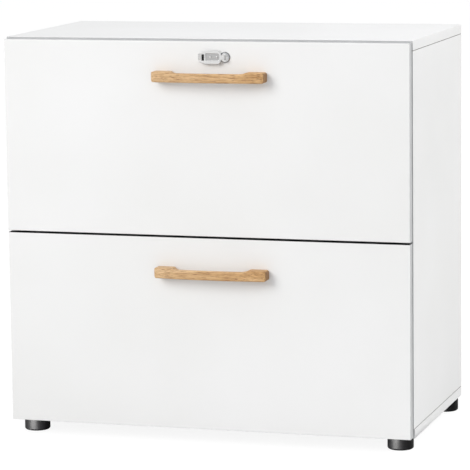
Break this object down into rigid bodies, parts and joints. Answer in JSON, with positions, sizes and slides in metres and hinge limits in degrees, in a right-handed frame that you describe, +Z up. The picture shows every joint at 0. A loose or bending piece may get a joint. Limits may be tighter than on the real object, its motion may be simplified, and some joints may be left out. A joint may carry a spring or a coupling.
{
  "type": "filing cabinet",
  "caption": "Low white filing cabinet with two wide drawers for hanging folders, oak bow handles, a lock with a folding key and round levelling feet.",
  "frame": {"origin": "on the floor, below the middle of the cabinet with its drawers closed, handles included", "axes": "+X to the right seen from the front, +Y from the front to the back, +Z up"},
  "size_m": [0.8, 0.4704, 0.775],
  "materials": {
    "white_melamine": "satin white melamine on particle board",
    "oak": "matt oiled light oak",
    "beech": "bare beech",
    "drawer_steel": "light grey powder coat",
    "zinc_plated_steel": "bright zinc plate",
    "cast_zinc": "bare zinc casting",
    "cage_plastic": "natural moulded plastic",
    "black_plastic": "black moulded plastic",
    "lock_chrome": "satin chrome plate",
    "key_nickel": "satin nickel plate",
    "bumper_plastic": "clear soft bumper"
  },
  "bodies": {
    "carcass": {"top_panel": "white_melamine", "bottom_panel": "white_melamine", "left_side_panel": "white_melamine", "right_side_panel": "white_melamine", "back_panel": "white_melamine", "cam_locks": "cast_zinc", "cam_bolts": "zinc_plated_steel", "wood_dowels": "beech", "foot_sockets": "zinc_plated_steel", "lock_keeper": "zinc_plated_steel", "carcass_screws": "zinc_plated_steel", "lower_cabinet_rails": "zinc_plated_steel", "upper_cabinet_rails": "zinc_plated_steel"},
    "lower_drawer": {"lower_drawer_front": "white_melamine", "lower_drawer_left_side": "drawer_steel", "lower_drawer_right_side": "drawer_steel", "lower_drawer_back": "drawer_steel", "lower_drawer_bottom": "white_melamine", "lower_drawer_crossbar": "drawer_steel", "lower_drawer_screws": "zinc_plated_steel", "lower_file_rails": "zinc_plated_steel", "lower_front_bumpers": "bumper_plastic", "lower_handle": "oak", "lower_handle_screws": "zinc_plated_steel", "lower_drawer_rails": "zinc_plated_steel"},
    "lower_middle_rails": {"lower_middle_rails": "zinc_plated_steel"},
    "lower_outer_cages": {"lower_outer_ball_cages": "cage_plastic"},
    "lower_inner_cages": {"lower_inner_ball_cages": "cage_plastic"},
    "upper_drawer": {"upper_drawer_front": "white_melamine", "upper_drawer_left_side": "drawer_steel", "upper_drawer_right_side": "drawer_steel", "upper_drawer_back": "drawer_steel", "upper_drawer_bottom": "white_melamine", "upper_drawer_crossbar": "drawer_steel", "upper_drawer_screws": "zinc_plated_steel", "upper_file_rails": "zinc_plated_steel", "upper_front_bumpers": "bumper_plastic", "upper_handle": "oak", "upper_handle_screws": "zinc_plated_steel", "upper_drawer_rails": "zinc_plated_steel", "lock_housing": "lock_chrome", "lock_nut": "zinc_plated_steel"},
    "upper_middle_rails": {"upper_middle_rails": "zinc_plated_steel"},
    "upper_outer_cages": {"upper_outer_ball_cages": "cage_plastic"},
    "upper_inner_cages": {"upper_inner_ball_cages": "cage_plastic"},
    "lock_core": {"lock_cylinder": "lock_chrome", "lock_cam": "zinc_plated_steel", "cam_screw": "zinc_plated_steel", "key_blade": "key_nickel", "key_hinge_pin": "key_nickel"},
    "folding_key": {"key_bow": "key_nickel", "key_insert": "black_plastic"},
    "front_left_foot": {"front_left_foot_pad": "black_plastic", "front_left_foot_stem": "zinc_plated_steel"},
    "front_right_foot": {"front_right_foot_pad": "black_plastic", "front_right_foot_stem": "zinc_plated_steel"},
    "rear_left_foot": {"rear_left_foot_pad": "black_plastic", "rear_left_foot_stem": "zinc_plated_steel"},
    "rear_right_foot": {"rear_right_foot_pad": "black_plastic", "rear_right_foot_stem": "zinc_plated_steel"}
  },
  "joints": [
    {"name": "lower_drawer_slide", "type": "slide", "parent": "carcass", "child": "lower_drawer", "axis": [0, -1, 0], "range_m": [0, 0.35]},
    {"name": "lower_middle_rails_slide", "type": "slide", "parent": "carcass", "child": "lower_middle_rails", "axis": [0, -1, 0], "range_m": [0, 0.175]},
    {"name": "lower_outer_cages_slide", "type": "slide", "parent": "carcass", "child": "lower_outer_cages", "axis": [0, -1, 0], "range_m": [0, 0.0875]},
    {"name": "lower_inner_cages_slide", "type": "slide", "parent": "carcass", "child": "lower_inner_cages", "axis": [0, -1, 0], "range_m": [0, 0.2625]},
    {"name": "upper_drawer_slide", "type": "slide", "parent": "carcass", "child": "upper_drawer", "axis": [0, -1, 0], "range_m": [0, 0.35]},
    {"name": "upper_middle_rails_slide", "type": "slide", "parent": "carcass", "child": "upper_middle_rails", "axis": [0, -1, 0], "range_m": [0, 0.175]},
    {"name": "upper_outer_cages_slide", "type": "slide", "parent": "carcass", "child": "upper_outer_cages", "axis": [0, -1, 0], "range_m": [0, 0.0875]},
    {"name": "upper_inner_cages_slide", "type": "slide", "parent": "carcass", "child": "upper_inner_cages", "axis": [0, -1, 0], "range_m": [0, 0.2625]},
    {"name": "lock_turn", "type": "hinge", "parent": "upper_drawer", "child": "lock_core", "pos_m": [0.045, -0.20525, 0.7415], "axis": [0, 1, 0], "range_deg": [0, 90]},
    {"name": "key_fold", "type": "hinge", "parent": "lock_core", "child": "folding_key", "pos_m": [0.045, -0.21125, 0.7415], "axis": [0, 0, 1], "range_deg": [0, 90]},
    {"name": "front_left_foot_adjust", "type": "slide", "parent": "carcass", "child": "front_left_foot", "axis": [0, 0, -1], "range_m": [0, 0.01]},
    {"name": "front_right_foot_adjust", "type": "slide", "parent": "carcass", "child": "front_right_foot", "axis": [0, 0, -1], "range_m": [0, 0.01]},
    {"name": "rear_left_foot_adjust", "type": "slide", "parent": "carcass", "child": "rear_left_foot", "axis": [0, 0, -1], "range_m": [0, 0.01]},
    {"name": "rear_right_foot_adjust", "type": "slide", "parent": "carcass", "child": "rear_right_foot", "axis": [0, 0, -1], "range_m": [0, 0.01]}
  ],
  "couplings": [
    {"joint": "lower_middle_rails_slide", "follows": "lower_drawer_slide", "ratio": 0.5},
    {"joint": "lower_outer_cages_slide", "follows": "lower_drawer_slide", "ratio": 0.25},
    {"joint": "lower_inner_cages_slide", "follows": "lower_drawer_slide", "ratio": 0.75},
    {"joint": "upper_middle_rails_slide", "follows": "upper_drawer_slide", "ratio": 0.5},
    {"joint": "upper_outer_cages_slide", "follows": "upper_drawer_slide", "ratio": 0.25},
    {"joint": "upper_inner_cages_slide", "follows": "upper_drawer_slide", "ratio": 0.75}
  ]
}
